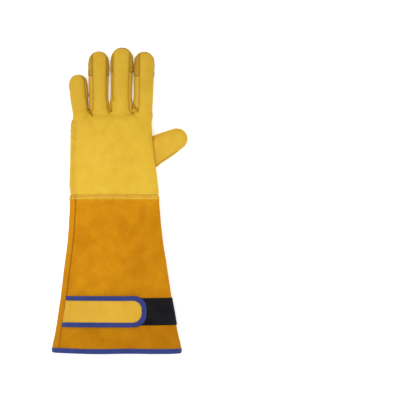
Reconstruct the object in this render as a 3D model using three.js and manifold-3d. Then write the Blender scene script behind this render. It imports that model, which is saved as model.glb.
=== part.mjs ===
// A left-hand rose pruning gauntlet, lying palm down, in millimetres.
// +Z is up, +Y runs along the fingers and +X points to the thumb side.
// The wrist seam is at y = 0 and the middle of the knuckles at x = 0.
import * as THREE from 'three';
import { mergeVertices } from 'three/addons/utils/BufferGeometryUtils.js';
import Module from 'manifold-3d';

const wasm = await Module();
wasm.setup();

// Leather, tape and clearances
const wall = 1.8;
const seamGap = 0.3;
const patchThickness = 1.5;
const bindingThickness = 1.0;
const bandThickness = 1.4;
const tabThickness = 1.8;

// Cuff
const cuffLength = 222;
const wristWidth = 125.5;
const hemWidth = 181;
const hemShift = 3.5;
const wristHeight = 29;
const mouthHeight = 46;
const hemBindingWidth = 6.5;

// Hand
const handLength = 119;
const palmHeight = 35;
const wrapWidth = 8.5;
const wrapFromWeb = 15.5;
const underWrapWidth = 9;
const seamHeight = 11.5;

// Fingers: width at its fullest, length past the web, lean of the tip towards the thumb side,
// web to the next finger, and how far the back seams lie out from the finger's middle, as
// shares of its half width. A seam past 1 runs along the finger's side.
const fingers = [
  { name: 'index', width: 29.5, length: 83, lean: 1.5, web: 4.5, outerSeam: 1.3, innerSeam: 0.45 },
  { name: 'middle', width: 32, length: 89, lean: 1.5, web: 4.5, outerSeam: 0.7, innerSeam: 0.78 },
  { name: 'ring', width: 29.5, length: 83.5, lean: 0, web: 1.0, outerSeam: 0.8, innerSeam: 0.55 },
  { name: 'little', width: 26.5, length: 51, lean: -4.5, web: 0, outerSeam: 0.76, innerSeam: 1.3 },
];
const fingerHeight = 22;
const rootNarrowing = 0.88;
const rootDepth = 26;
const capLength = 35;
const webDrop = 5;
const frontSeamDrop = 12;

// Thumb
const thumbWidth = 46;
const thumbHeight = 20;
const thumbTipWidth = 33;
const thumbReach = 106.5;
const thumbSeam = 0.88;
const thumbFloorHeight = 4.4;
const weltWidth = 8;
const weltEnd = 71;

// Palm patch, slit and heel patch
const patchFromWeb = 13;
const patchRise = 9;
const patchEdge = 41;
const patchLobe = 9;
const slitFromWeb = 35;
const slitLength = 37;
const slitWidth = 4;
const heelWidth = 66;
const heelDepth = 38;
const heelClearance = 0.9;

// Strap: its middle lies this far from the hem
const strapFromHem = 59;
const bandWidth = 38;
const tabLength = 115;
const tabWidth = 43.5;
const tabCorner = 17;
const tapeWidth = 6.5;

// Facets
const handFacets = 22;
const fingerFacets = 14;
const thumbFacets = 16;
const stationStep = 20;
const edgeStep = 32;
const tipSteps = 3;

// Worked out from the sizes above
const padLift = seamGap + patchThickness;
const hemLift = seamGap + bindingThickness;
const knuckleWidth = fingers.reduce((sum, f) => sum + f.width * rootNarrowing + f.web, 0);
const knuckleHalf = knuckleWidth / 2;
const beyond = cuffLength + handLength;
const overrun = 5;
const wrapEnd = handLength - wrapFromWeb;
const patchTop = handLength - patchFromWeb;
const slitAt = handLength - slitFromWeb;

// The wrist lies this share of half the knuckles' width out on the little-finger side
const wristShare = 1.05;
// Heel patch: facets of its curve, and how square it is across and down
const heelFacets = 10;
const heelSquare = 0.6;
const heelFullness = 0.8;
// How much of the tape's inset the tab's corner loses, and how sharply a fold dies away
const tabCornerShare = 0.7;
const foldSharpness = 2;

// Section shape: how high a digit's widest line lies in it, how square its sides, its top and
// its underside are, and how much of the underside is pressed flat
const sideFold = 0.42;
const sideSquare = 0.84;
const topSquare = 0.92;
const underSquare = 0.8;
const underFlat = 1.12;
// Tips: the length that rounds off and the last ring, as shares of a digit's width, and how
// square the rounding is
const tipReach = 0.62;
const tipClose = 0.16;
const tipSquare = 2.3;

// Cuff rows from wrist (0) to hem (1). flare: share of the way from the wrist's width to the
// hem's; crown: the same for the height; lift: share of the pads' thickness that it lies above
// the floor.
const cuffRows = [
  { along: 0.00, flare: 0.00, crown: 0.00, lift: 1.0 },
  { along: 0.08, flare: 0.03, crown: 0.02, lift: 1.0 },
  { along: 0.20, flare: 0.10, crown: 0.06, lift: 1.0 },
  { along: 0.31, flare: 0.18, crown: 0.13, lift: 0.4 },
  { along: 0.42, flare: 0.31, crown: 0.22, lift: 0.0 },
  { along: 0.54, flare: 0.44, crown: 0.36, lift: 0.0 },
  { along: 0.65, flare: 0.55, crown: 0.50, lift: 0.0 },
  { along: 0.76, flare: 0.70, crown: 0.66, lift: 0.0 },
  { along: 0.88, flare: 0.86, crown: 0.84, lift: 0.0 },
  { along: 0.95, flare: 1.00, crown: 0.96, lift: 1.0 },
  { along: 1.00, flare: 0.99, crown: 1.00, lift: 1.0 },
];

// Hand rows from wrist (0) to web (1). left, right: shares of half the knuckles' width;
// top: share of the palm's height; fold: how high the thumb-side edge lies in that height;
// lift: how many pad thicknesses it lies above the floor.
const handRows = [
  { along: 0.06, left: 1.05, right: 1.17, top: 0.83, fold: 0.48, lift: 1 },
  { along: 0.20, left: 1.06, right: 1.12, top: 0.93, fold: 0.58, lift: 1 },
  { along: 0.34, left: 1.05, right: 1.08, top: 1.00, fold: 0.66, lift: 1 },
  { along: 0.48, left: 1.05, right: 1.04, top: 1.00, fold: 0.66, lift: 1 },
  { along: 0.62, left: 1.04, right: 1.01, top: 0.97, fold: 0.60, lift: 1 },
  { along: 0.78, left: 1.03, right: 0.99, top: 0.87, fold: 0.50, lift: 1 },
  { along: 0.90, left: 1.00, right: 0.98, top: 0.74, fold: 0.44, lift: 1 },
  { along: 1.00, left: 0.90, right: 0.92, top: 0.486, fold: 0.45, lift: 2 },
];

// Finger rows from the web (0) to where the tip starts to round (1). width, top and lift are
// shares of the finger's width and height.
const fingerRows = [
  { along: 0.00, width: rootNarrowing, top: 1.06, lift: 0.10 },
  { along: 0.25, width: 0.92, top: 1.12, lift: 0.16 },
  { along: 0.50, width: 0.945, top: 1.08, lift: 0.14 },
  { along: 0.78, width: 0.975, top: 0.98, lift: 0.06 },
  { along: 1.00, width: 1.00, top: 0.92, lift: 0.00 },
];

// Thumb rows: across and along give the middle line as shares of half the knuckles' width and
// of the hand's length; width is a share of the thumb's width, top of its height.
const thumbRows = [
  { across: 0.187, along: 0.035, width: 0.18, top: 0.24 },
  { across: 0.355, along: 0.227, width: 0.70, top: 0.50 },
  { across: 0.657, along: 0.408, width: 1.00, top: 0.92 },
  { across: 1.065, along: 0.534, width: 0.88, top: 1.04 },
  { across: 1.360, along: 0.605, width: 0.79, top: 1.06 },
];

// Folds and bulges on the upper side: middle as shares of half the knuckles' width and of the
// hand's length, turn in degrees from the X axis, length and breadth as shares of the knuckles'
// width, rise as a share of the palm's height.
const folds = [
  { across: 0.00, along: 0.02, turn: 0, length: 0.70, breadth: 0.09, rise: -0.09 },
  { across: 0.62, along: 0.42, turn: 62, length: 0.34, breadth: 0.09, rise: -0.07 },
  { across: -0.35, along: 0.30, turn: 80, length: 0.36, breadth: 0.12, rise: -0.05 },
  { across: 0.25, along: 0.60, turn: 90, length: 0.30, breadth: 0.16, rise: 0.05 },
  { across: -0.10, along: -0.60, turn: 84, length: 0.55, breadth: 0.15, rise: -0.08 },
  { across: 0.55, along: -0.95, turn: 70, length: 0.50, breadth: 0.16, rise: 0.07 },
  { across: -0.70, along: -1.60, turn: 80, length: 0.35, breadth: 0.14, rise: 0.09 },
  { across: 0.20, along: -1.75, turn: 95, length: 0.28, breadth: 0.14, rise: -0.10 },
  { across: 0.95, along: -1.70, turn: 80, length: 0.30, breadth: 0.13, rise: 0.08 },
];

const mix = THREE.MathUtils.lerp;

// Solids from geometry and back
function solidOf(geometry) {
  const bare = geometry.index ? geometry.toNonIndexed() : geometry.clone();
  bare.deleteAttribute('normal');
  bare.deleteAttribute('uv');
  const merged = mergeVertices(bare, 1e-4);
  return new wasm.Manifold(new wasm.Mesh({
    numProp: 3,
    vertProperties: new Float32Array(merged.attributes.position.array),
    triVerts: new Uint32Array(merged.index.array),
  }));
}

function geometryOf(solid) {
  const mesh = solid.getMesh();
  const geometry = new THREE.BufferGeometry();
  geometry.setAttribute('position', new THREE.BufferAttribute(mesh.vertProperties.slice(), 3));
  geometry.setIndex(new THREE.BufferAttribute(mesh.triVerts.slice(), 1));
  geometry.computeVertexNormals();
  return geometry;
}

// The main body of a cut piece, without the slivers that a cut can leave
function mainBody(solid) {
  const bodies = solid.decompose();
  return bodies.reduce((best, body) => (body.volume() > best.volume() ? body : best));
}

function prism(points, low = -beyond, high = beyond) {
  const shape = new THREE.Shape(points.map(([x, y]) => new THREE.Vector2(x, y)));
  const geometry = new THREE.ExtrudeGeometry(shape, {
    depth: high - low, bevelEnabled: false, curveSegments: 6,
  });
  return solidOf(geometry.translate(0, 0, low));
}

function slab(xLow, xHigh, yLow, yHigh, low, high) {
  return prism([[xLow, yLow], [xHigh, yLow], [xHigh, yHigh], [xLow, yHigh]], low, high);
}

// Rings of equal count, joined and closed at both ends
function loft(rings) {
  const count = rings[0].length;
  const positions = [];
  const index = [];
  rings.forEach((ring) => ring.forEach((p) => positions.push(p.x, p.y, p.z)));
  for (let r = 0; r + 1 < rings.length; r += 1) {
    for (let i = 0; i < count; i += 1) {
      const j = (i + 1) % count;
      const near = r * count;
      const far = near + count;
      index.push(near + i, near + j, far + j, near + i, far + j, far + i);
    }
  }
  [0, rings.length - 1].forEach((r) => {
    const hub = positions.length / 3;
    const centre = rings[r].reduce((sum, p) => sum.add(p), new THREE.Vector3());
    centre.divideScalar(count);
    positions.push(centre.x, centre.y, centre.z);
    for (let i = 0; i < count; i += 1) {
      const a = r * count + i;
      const b = r * count + ((i + 1) % count);
      if (r === 0) index.push(hub, b, a);
      else index.push(hub, a, b);
    }
  });
  const geometry = new THREE.BufferGeometry();
  geometry.setAttribute('position', new THREE.Float32BufferAttribute(positions, 3));
  geometry.setIndex(index);
  const solid = solidOf(geometry);
  if (solid.volume() > 0) return solid;
  for (let i = 0; i < index.length; i += 3) [index[i], index[i + 1]] = [index[i + 1], index[i]];
  geometry.setIndex(index);
  return solidOf(geometry);
}

// One flattened tube section: full round above, nearly flat where it rests
function sectionRing(section, facets) {
  const { middle, across, left, right, top, bottom, foldLeft, foldRight, shape } = section;
  const ring = [];
  for (let i = 0; i < facets; i += 1) {
    const angle = (2 * Math.PI * i) / facets;
    const c = Math.cos(angle);
    const s = Math.sin(angle);
    const reach = Math.sign(c) * Math.abs(c) ** sideSquare;
    const out = reach > 0 ? reach * right : reach * left;
    const share = mix(foldLeft, foldRight, (reach + 1) / 2);
    const side = bottom + (top - bottom) * share;
    let z = side + (top - side) * Math.max(s, 0) ** topSquare;
    if (s < 0) z = Math.max(bottom, side - (side - bottom) * underFlat * Math.abs(s) ** underSquare);
    const x = middle.x + across.x * out;
    const y = middle.y + across.y * out;
    if (s > 0 && shape) z += shape(x, y) * s;
    ring.push(new THREE.Vector3(x, y, z));
  }
  return ring;
}

// How far a fold lifts the upper side at a point
function foldRise(x, y) {
  return folds.reduce((sum, fold) => {
    const dx = x - fold.across * knuckleHalf;
    const dy = y - fold.along * handLength;
    const turn = THREE.MathUtils.degToRad(fold.turn);
    const along = (dx * Math.cos(turn) + dy * Math.sin(turn)) / (fold.length * knuckleWidth);
    const off = (dy * Math.cos(turn) - dx * Math.sin(turn)) / (fold.breadth * knuckleWidth);
    return sum + fold.rise * palmHeight * Math.exp(-foldSharpness * (along ** 2 + off ** 2));
  }, 0);
}

// The cuff and hand, as stations from hem to web
const stations = [
  ...cuffRows.slice().reverse().map((row) => {
    const half = mix(wristWidth, hemWidth, row.flare) / 2;
    const middle = wristWidth / 2 - knuckleHalf * wristShare + hemShift * row.along;
    return {
      y: -row.along * cuffLength,
      left: half - middle,
      right: half + middle,
      top: mix(wristHeight, mouthHeight, row.crown),
      bottom: row.lift * (row.along > 0.5 ? hemLift : padLift),
      fold: 0.45,
    };
  }),
  ...handRows.map((row) => ({
    y: row.along * handLength,
    left: row.left * knuckleHalf,
    right: row.right * knuckleHalf,
    top: row.top * palmHeight,
    bottom: row.lift * padLift,
    fold: row.fold,
  })),
];

function stationAt(y) {
  const last = stations.length - 1;
  let i = stations.findIndex((station) => station.y >= y);
  if (i < 0) i = last;
  i = Math.max(i, 1);
  const [a, b] = [stations[i - 1], stations[i]];
  const t = THREE.MathUtils.clamp((y - a.y) / (b.y - a.y), 0, 1);
  const at = { y };
  ['left', 'right', 'top', 'bottom', 'fold'].forEach((key) => { at[key] = mix(a[key], b[key], t); });
  return at;
}

// Where the cuff and hand have a ring: at every station and at steps between them
const ringLevels = [-cuffLength - overrun];
stations.forEach((station, i) => {
  const from = i ? stations[i - 1].y : station.y;
  const steps = Math.max(Math.ceil((station.y - from) / stationStep), 1);
  for (let k = 1; k <= steps; k += 1) ringLevels.push(mix(from, station.y, k / steps));
});

// The cuff and hand as one form, grown by an offset; it runs on past the hem
function bodyForm(offset) {
  const rings = [];
  ringLevels.forEach((level, i) => {
    const y = i === ringLevels.length - 1 ? level + offset : level;
    const at = stationAt(level);
    rings.push(sectionRing({
      middle: new THREE.Vector2(0, y),
      across: new THREE.Vector2(1, 0),
      left: at.left + offset,
      right: at.right + offset,
      top: at.top + offset,
      bottom: at.bottom - offset,
      foldLeft: sideFold,
      foldRight: at.fold,
      shape: foldRise,
    }, handFacets));
  });
  return loft(rings);
}

// A rounded tip: widths and heights fall away over the last half width
function tipRings(base, tip, across, half, top, bottom, facets) {
  const rings = [];
  for (let i = 1; i <= tipSteps; i += 1) {
    const t = Math.sin((Math.PI / 2) * (i / tipSteps));
    const shrink = Math.max((1 - t ** tipSquare) ** (1 / tipSquare), tipClose);
    const middle = base.clone().lerp(tip, t);
    const centre = mix(bottom, top, sideFold);
    rings.push(sectionRing({
      middle,
      across,
      left: half * shrink,
      right: half * shrink,
      top: mix(centre, top, shrink),
      bottom: mix(centre, bottom, shrink),
      foldLeft: sideFold,
      foldRight: sideFold,
    }, facets));
  }
  return rings;
}

const sideways = (direction) => new THREE.Vector2(direction.y, -direction.x);

// Each finger stands on the web line, stacked from the thumb side
let stack = knuckleHalf;
const digits = fingers.map((finger) => {
  const half = (finger.width * rootNarrowing) / 2;
  const root = new THREE.Vector2(stack - half, handLength);
  stack -= finger.width * rootNarrowing + finger.web;
  const direction = new THREE.Vector2(finger.lean, finger.length).normalize();
  return { ...finger, root, direction, across: sideways(direction) };
});

function pointOn(digit, along, out) {
  return digit.root.clone().addScaledVector(digit.direction, along).addScaledVector(digit.across, out);
}

function fingerForm(digit, offset) {
  const roundness = digit.width * tipReach;
  const shaft = digit.length - roundness;
  const ringAt = (along, width, top, lift) => sectionRing({
    middle: pointOn(digit, along, 0),
    across: digit.across,
    left: (digit.width * width) / 2 + offset,
    right: (digit.width * width) / 2 + offset,
    top: fingerHeight * top + offset,
    bottom: fingerHeight * lift - offset,
    foldLeft: sideFold,
    foldRight: sideFold,
  }, fingerFacets);
  const rings = [ringAt(-rootDepth, rootNarrowing * 0.8, 0.66, 0.28)];
  fingerRows.forEach((row) => rings.push(ringAt(row.along * shaft, row.width, row.top, row.lift)));
  const end = fingerRows[fingerRows.length - 1];
  rings.push(...tipRings(
    pointOn(digit, shaft, 0),
    pointOn(digit, digit.length + offset, 0),
    digit.across,
    (digit.width * end.width) / 2 + offset,
    fingerHeight * end.top + offset,
    fingerHeight * end.lift - offset,
    fingerFacets,
  ));
  return loft(rings);
}

// The thumb's middle line, as frames that carry its rows
const thumbPath = thumbRows.map((row) => (
  new THREE.Vector2(row.across * knuckleHalf, row.along * handLength)));
const thumbDirections = thumbPath.map((point, i) => {
  const before = thumbPath[Math.max(i - 1, 0)];
  const after = thumbPath[Math.min(i + 1, thumbPath.length - 1)];
  return after.clone().sub(before).normalize();
});
const thumbEnd = thumbPath[thumbPath.length - 1];
const thumbAim = thumbDirections[thumbDirections.length - 1];
const thumbRounding = thumbTipWidth * tipReach;
const thumbKnobX = thumbReach - thumbRounding * thumbAim.x
  - (thumbTipWidth * (1 - thumbAim.x)) / 2;
const thumbKnob = thumbEnd.clone()
  .addScaledVector(thumbAim, (thumbKnobX - thumbEnd.x) / thumbAim.x);

function thumbForm(offset) {
  const heel = thumbPath[0].clone().addScaledVector(thumbDirections[0], -offset);
  const rings = thumbRows.map((row, i) => sectionRing({
    middle: i ? thumbPath[i] : heel,
    across: sideways(thumbDirections[i]),
    left: (thumbWidth * row.width) / 2 + offset,
    right: (thumbWidth * row.width) / 2 + offset,
    top: thumbHeight * row.top + offset,
    bottom: -offset,
    foldLeft: sideFold,
    foldRight: sideFold,
  }, thumbFacets));
  const roundFrom = thumbKnob.clone();
  rings.push(sectionRing({
    middle: roundFrom,
    across: sideways(thumbAim),
    left: thumbTipWidth / 2 + offset,
    right: thumbTipWidth / 2 + offset,
    top: thumbHeight + offset,
    bottom: -offset,
    foldLeft: sideFold,
    foldRight: sideFold,
  }, thumbFacets));
  rings.push(...tipRings(
    roundFrom,
    roundFrom.clone().addScaledVector(thumbAim, thumbRounding + offset),
    sideways(thumbAim),
    thumbTipWidth / 2 + offset,
    thumbHeight + offset,
    -offset,
    thumbFacets,
  ));
  return loft(rings);
}

// Every form at one offset: the glove's outside, its hollow, or a layer laid over it
function wholeForm(offset) {
  const hand = digits.reduce((sum, digit) => sum.add(fingerForm(digit, offset)), bodyForm(offset));
  return { hand, thumb: thumbForm(offset) };
}

const outside = wholeForm(0);
const hollow = wholeForm(-wall);
const cavity = hollow.hand.add(hollow.thumb);
const hemCut = slab(-beyond, beyond, -cuffLength + seamGap + bindingThickness, beyond, -beyond, beyond);

// Where the thumb's front lies against the palm, the palm gives way to it
const thumbSocket = thumbForm(seamGap).intersect(
  slab(-beyond, beyond, -beyond, beyond, -beyond, thumbFloorHeight),
);
const handShell = outside.hand.subtract(cavity).subtract(thumbSocket).intersect(hemCut);
const handAbove = bodyForm(seamGap).intersect(
  slab(-beyond, beyond, -beyond, beyond, thumbFloorHeight - seamGap, beyond),
);
const thumbShell = outside.thumb.subtract(cavity).subtract(handAbove);

// Outlines along the glove's two edges, from y to y, moved in from the edge
function edgePoints(side, from, to, inset) {
  const steps = Math.ceil(Math.abs(to - from) / edgeStep);
  return Array.from({ length: steps + 1 }, (_, i) => {
    const y = mix(from, to, i / steps);
    const at = stationAt(y);
    return side < 0 ? [inset - at.left, y] : [at.right - inset, y];
  });
}

// Cuff: the front panel wraps round the little-finger side on to the back
const halfGap = seamGap / 2;
const cuffShell = handShell.intersect(slab(-beyond, beyond, -beyond, -halfGap, -beyond, beyond));
const wrapRegion = (grow) => prism([
  [-beyond, 0],
  [-beyond, -beyond],
  ...edgePoints(-1, -cuffLength - overrun, 0, wrapWidth + grow),
]);
const underRegion = (grow) => prism([
  [-beyond, 0],
  [-beyond, -beyond],
  ...edgePoints(1, -cuffLength - overrun, 0, underWrapWidth - grow),
], -beyond, seamHeight + grow);
const cuffFront = cuffShell.intersect(wrapRegion(0).add(underRegion(0)));
const cuffBack = cuffShell.subtract(wrapRegion(seamGap).add(underRegion(seamGap)));

// Side strips: each lines the two facing sides of neighbouring fingers, up to their caps
const gloveShell = handShell.intersect(slab(-beyond, beyond, halfGap, beyond, -beyond, beyond));
const capStart = (digit) => digit.length - capLength;
const outerSeam = (digit) => (digit.outerSeam * digit.width) / 2;
const innerSeam = (digit) => (digit.innerSeam * digit.width) / 2;
function stripRegion(a, b, grow) {
  const inA = innerSeam(a) - grow;
  const outB = outerSeam(b) - grow;
  const middleA = a.width / 2 + a.web / 2;
  const apex = a.root.clone().lerp(b.root, 0.5);
  const points = [
    pointOn(a, 0, -inA),
    pointOn(a, capStart(a) + grow, -inA),
    pointOn(a, capStart(a) + grow, -middleA),
    pointOn(b, capStart(b) + grow, b.width / 2),
    pointOn(b, capStart(b) + grow, outB),
    pointOn(b, 0, outB),
    new THREE.Vector2(apex.x, handLength - webDrop - grow),
  ];
  return prism(points.map((p) => [p.x, p.y]));
}

const pairs = digits.slice(1).map((digit, i) => [digits[i], digit]);
const stripRegions = (grow) => pairs.map(([a, b]) => stripRegion(a, b, grow));
const strips = stripRegions(0).map((region) => gloveShell.intersect(region));
let rest = stripRegions(seamGap).reduce((shell, region) => shell.subtract(region), gloveShell);

// Back: one panel over the hand and down the middle of each finger
function backRegion(grow) {
  const hand = prism([
    [beyond, -overrun],
    [beyond, handLength + grow],
    [-beyond, handLength + grow],
    [-beyond, wrapEnd - grow],
    ...edgePoints(-1, wrapEnd - grow, -overrun, wrapWidth - grow),
  ], seamHeight - grow);
  return digits.reduce((sum, digit) => sum.add(prism([
    pointOn(digit, -webDrop, outerSeam(digit) + grow),
    pointOn(digit, digit.length + overrun, outerSeam(digit) + grow),
    pointOn(digit, digit.length + overrun, -innerSeam(digit) - grow),
    pointOn(digit, -webDrop, -innerSeam(digit) - grow),
  ].map((p) => [p.x, p.y]), seamHeight - grow)), hand);
}
const back = rest.intersect(backRegion(0));
rest = rest.subtract(backRegion(seamGap));

// Caps: the rest of each fingertip
const capRegion = (digit, grow) => prism([
  pointOn(digit, capStart(digit) - grow, digit.width / 2 + seamGap),
  pointOn(digit, digit.length + overrun, digit.width / 2 + seamGap),
  pointOn(digit, digit.length + overrun, -digit.width / 2 - seamGap),
  pointOn(digit, capStart(digit) - grow, -digit.width / 2 - seamGap),
].map((p) => [p.x, p.y]));
const caps = digits.map((digit) => rest.intersect(capRegion(digit, 0)));
rest = digits.reduce((shell, digit) => shell.subtract(capRegion(digit, seamGap)), rest);

// Front: the two middle fingers' fronts are one piece, seamed across their base
const frontSeam = handLength - frontSeamDrop;
const [indexDigit, middleDigit, ringDigit, littleDigit] = digits;
const middleRingRegion = (grow) => prism([
  [(indexDigit.root.x + middleDigit.root.x) / 2 - halfGap + grow, frontSeam - grow],
  [(indexDigit.root.x + middleDigit.root.x) / 2 - halfGap + grow, beyond],
  [(ringDigit.root.x + littleDigit.root.x) / 2 + halfGap - grow, beyond],
  [(ringDigit.root.x + littleDigit.root.x) / 2 + halfGap - grow, frontSeam - grow],
]);
const middleRing = rest.intersect(middleRingRegion(0));
const palm = rest.subtract(middleRingRegion(seamGap));

// Thumb: smooth leather over its back, and a front that wraps round its lower edge
const thumbBackRegion = (grow) => {
  const upper = thumbRows.map((row, i) => thumbPath[i].clone()
    .addScaledVector(sideways(thumbDirections[i]), -thumbWidth));
  const lower = thumbRows.map((row, i) => thumbPath[i].clone()
    .addScaledVector(sideways(thumbDirections[i]), (thumbSeam * thumbWidth * row.width) / 2 + grow));
  const tipPoint = (out) => thumbKnob.clone().addScaledVector(thumbAim, thumbWidth)
    .addScaledVector(sideways(thumbAim), out);
  const low = tipPoint((thumbSeam * thumbTipWidth) / 2 + grow);
  const high = tipPoint(-thumbWidth);
  return prism([...upper, high, low, ...lower.reverse()].map((p) => [p.x, p.y]),
    thumbHeight * sideFold - grow);
};
const thumbBack = thumbShell.intersect(thumbBackRegion(0));
const thumbFront = thumbShell.subtract(thumbBackRegion(seamGap));

// Thumb outline on the palm, grown sideways, for what is laid beside it
function thumbOutline(grow) {
  const at = (sign) => thumbRows.map((row, i) => thumbPath[i].clone()
    .addScaledVector(sideways(thumbDirections[i]), sign * ((thumbWidth * row.width) / 2 + grow)));
  const heel = thumbPath[0].clone().addScaledVector(thumbDirections[0], -grow);
  return prism([...at(-1), ...at(1).reverse(), heel].map((p) => [p.x, p.y]));
}

// Layers laid on the outside: a pad, a strip, a band or a tab
function layer(form, from, thickness) {
  return form(from + thickness).subtract(form(from));
}
const padLayer = layer((offset) => wholeForm(offset).hand, seamGap, patchThickness)
  .intersect(slab(-beyond, beyond, -beyond, beyond, -beyond, seamHeight - seamGap));

// Welt: a strip round the thumb's seam, from the wrist to the crotch
const welt = padLayer
  .intersect(thumbOutline(seamGap + weltWidth).subtract(thumbOutline(seamGap * 2)))
  .intersect(prism([
    [-beyond, patchRise],
    [thumbPath[0].x, patchRise],
    [thumbPath[1].x, thumbPath[1].y],
    [thumbPath[3].x - thumbWidth / 2, weltEnd],
    [-beyond, weltEnd],
  ]));

// Palm patch: round upper corners, a slit from the little-finger side, cut clear of the welt
const patchOutline = new THREE.Shape();
patchOutline.moveTo(-beyond, patchRise);
thumbPath.slice(0, 3).forEach((point) => patchOutline.lineTo(point.x, Math.max(point.y, patchRise)));
patchOutline.lineTo(patchEdge, weltEnd + weltWidth);
patchOutline.absarc(patchEdge - patchLobe, patchTop - patchLobe, patchLobe, 0, Math.PI / 2);
patchOutline.lineTo(-beyond, patchTop);
const slitEdge = -stationAt(slitAt).left;
const slit = prism([
  [-beyond, slitAt + slitWidth],
  [slitEdge, slitAt + slitWidth],
  [slitEdge + slitLength, slitAt - slitWidth / 2],
  [slitEdge, slitAt],
  [-beyond, slitAt],
]);
const patch = padLayer
  .intersect(prism(patchOutline.getPoints(4).map((p) => [p.x, p.y])))
  .subtract(thumbOutline(seamGap * 2 + weltWidth))
  .subtract(slit);

// Heel patch: half round, under the wrist seam
const heelMiddle = heelWidth / 2 - stationAt(0).left + wrapWidth / 2;
const heelOutline = Array.from({ length: heelFacets + 1 }, (_, i) => {
  const angle = Math.PI * (1 + i / heelFacets);
  const reach = Math.sign(Math.cos(angle)) * Math.abs(Math.cos(angle)) ** heelSquare;
  return [
    heelMiddle + (heelWidth / 2) * reach,
    -heelDepth * Math.abs(Math.sin(angle)) ** heelFullness - heelClearance,
  ];
});
const heel = padLayer.intersect(prism(heelOutline));

// Loop band across the cuff's back, round the thumb side to the seam under it
const strapY = strapFromHem - cuffLength;
const bandRegion = prism([
  ...edgePoints(-1, strapY - bandWidth / 2, strapY + bandWidth / 2, wrapWidth + seamGap),
  [beyond, strapY + bandWidth / 2],
  [beyond, strapY - bandWidth / 2],
], seamHeight).add(prism([
  ...edgePoints(1, strapY - bandWidth / 2, strapY + bandWidth / 2, underWrapWidth - seamGap),
  [beyond, strapY + bandWidth / 2],
  [beyond, strapY - bandWidth / 2],
]));
const band = layer(bodyForm, seamGap, bandThickness).intersect(bandRegion);

// Tab over the band, from the wrap's seam to a round free end, with a tape round its edge
const tabLift = seamGap + bandThickness + seamGap;
const tabStart = wrapWidth + seamGap - stationAt(strapY).left;
function tabOutline(inset) {
  const shape = new THREE.Shape();
  const corner = tabCorner - inset * tabCornerShare;
  const half = tabWidth / 2 - inset;
  const end = tabStart + tabLength - inset;
  shape.moveTo(-beyond, strapY - half);
  shape.lineTo(end - corner, strapY - half);
  shape.absarc(end - corner, strapY - half + corner, corner, -Math.PI / 2, 0);
  shape.absarc(end - corner, strapY + half - corner, corner, 0, Math.PI / 2);
  shape.lineTo(-beyond, strapY + half);
  return prism(shape.getPoints(4).map((p) => [p.x, p.y]), seamHeight);
}
const tabSide = prism([
  ...edgePoints(-1, strapY - tabWidth, strapY + tabWidth, wrapWidth + seamGap),
  [beyond, strapY + tabWidth],
  [beyond, strapY - tabWidth],
]);
const tab = layer(bodyForm, tabLift, tabThickness)
  .intersect(tabOutline(tapeWidth + seamGap))
  .intersect(tabSide);
const strapTape = layer(bodyForm, tabLift, tabThickness + seamGap * 2)
  .intersect(tabOutline(0).subtract(tabOutline(tapeWidth)))
  .intersect(tabSide);

// Hem binding: a folded tape over the edge of the cuff's mouth
const hemRing = bodyForm(hemLift).subtract(bodyForm(-wall - hemLift))
  .intersect(slab(-beyond, beyond, -cuffLength, hemBindingWidth - cuffLength, -beyond, beyond));
const hemChannel = bodyForm(seamGap).subtract(bodyForm(-wall - seamGap))
  .intersect(slab(-beyond, beyond, bindingThickness - cuffLength, beyond, -beyond, beyond));
const hemBinding = hemRing.subtract(hemChannel);

// Leather and tape finishes
const finishes = {
  grain: { color: 0xe2b638, roughness: 0.55 },
  suede: { color: 0xd2ac40, roughness: 0.9 },
  cap: { color: 0xb98f30, roughness: 0.9 },
  cuff: { color: 0xcc8814, roughness: 0.95 },
  tape: { color: 0x364786, roughness: 0.85 },
  loop: { color: 0x1c1c1f, roughness: 0.95 },
};

const pieces = [
  ['back_panel', back, 'grain'],
  ['palm_panel', palm, 'grain'],
  ['middle_ring_panel', middleRing, 'grain'],
  ...pairs.map(([a, b], i) => [`side_strip_${a.name}_${b.name}`, strips[i], 'grain']),
  ...digits.map((digit, i) => [`${digit.name}_cap`, caps[i], 'cap']),
  ['thumb_back', thumbBack, 'grain'],
  ['thumb_front', thumbFront, 'suede'],
  ['thumb_welt', welt, 'grain'],
  ['palm_patch', patch, 'suede'],
  ['heel_patch', heel, 'grain'],
  ['cuff_back', cuffBack, 'cuff'],
  ['cuff_front', cuffFront, 'cuff'],
  ['loop_band', band, 'loop'],
  ['strap_tab', tab, 'grain'],
  ['strap_binding', strapTape, 'tape'],
  ['hem_binding', hemBinding, 'tape'],
];

// The group's own origin is the middle of the underside of its bounding box
const glove = new THREE.Group();
const box = new THREE.Box3();
pieces.forEach(([name, solid, finish]) => {
  const geometry = geometryOf(mainBody(solid));
  const material = new THREE.MeshStandardMaterial({ metalness: 0, ...finishes[finish] });
  const mesh = new THREE.Mesh(geometry, material);
  mesh.name = name;
  geometry.computeBoundingBox();
  box.union(geometry.boundingBox);
  glove.add(mesh);
});
glove.position.set(-(box.min.x + box.max.x) / 2, -(box.min.y + box.max.y) / 2, -box.min.z);

export default glove;
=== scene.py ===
import math

import bmesh
import bpy
import numpy as np
from mathutils import Matrix, Vector, noise
from mathutils.bvhtree import BVHTree
from mathutils.kdtree import KDTree


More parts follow.
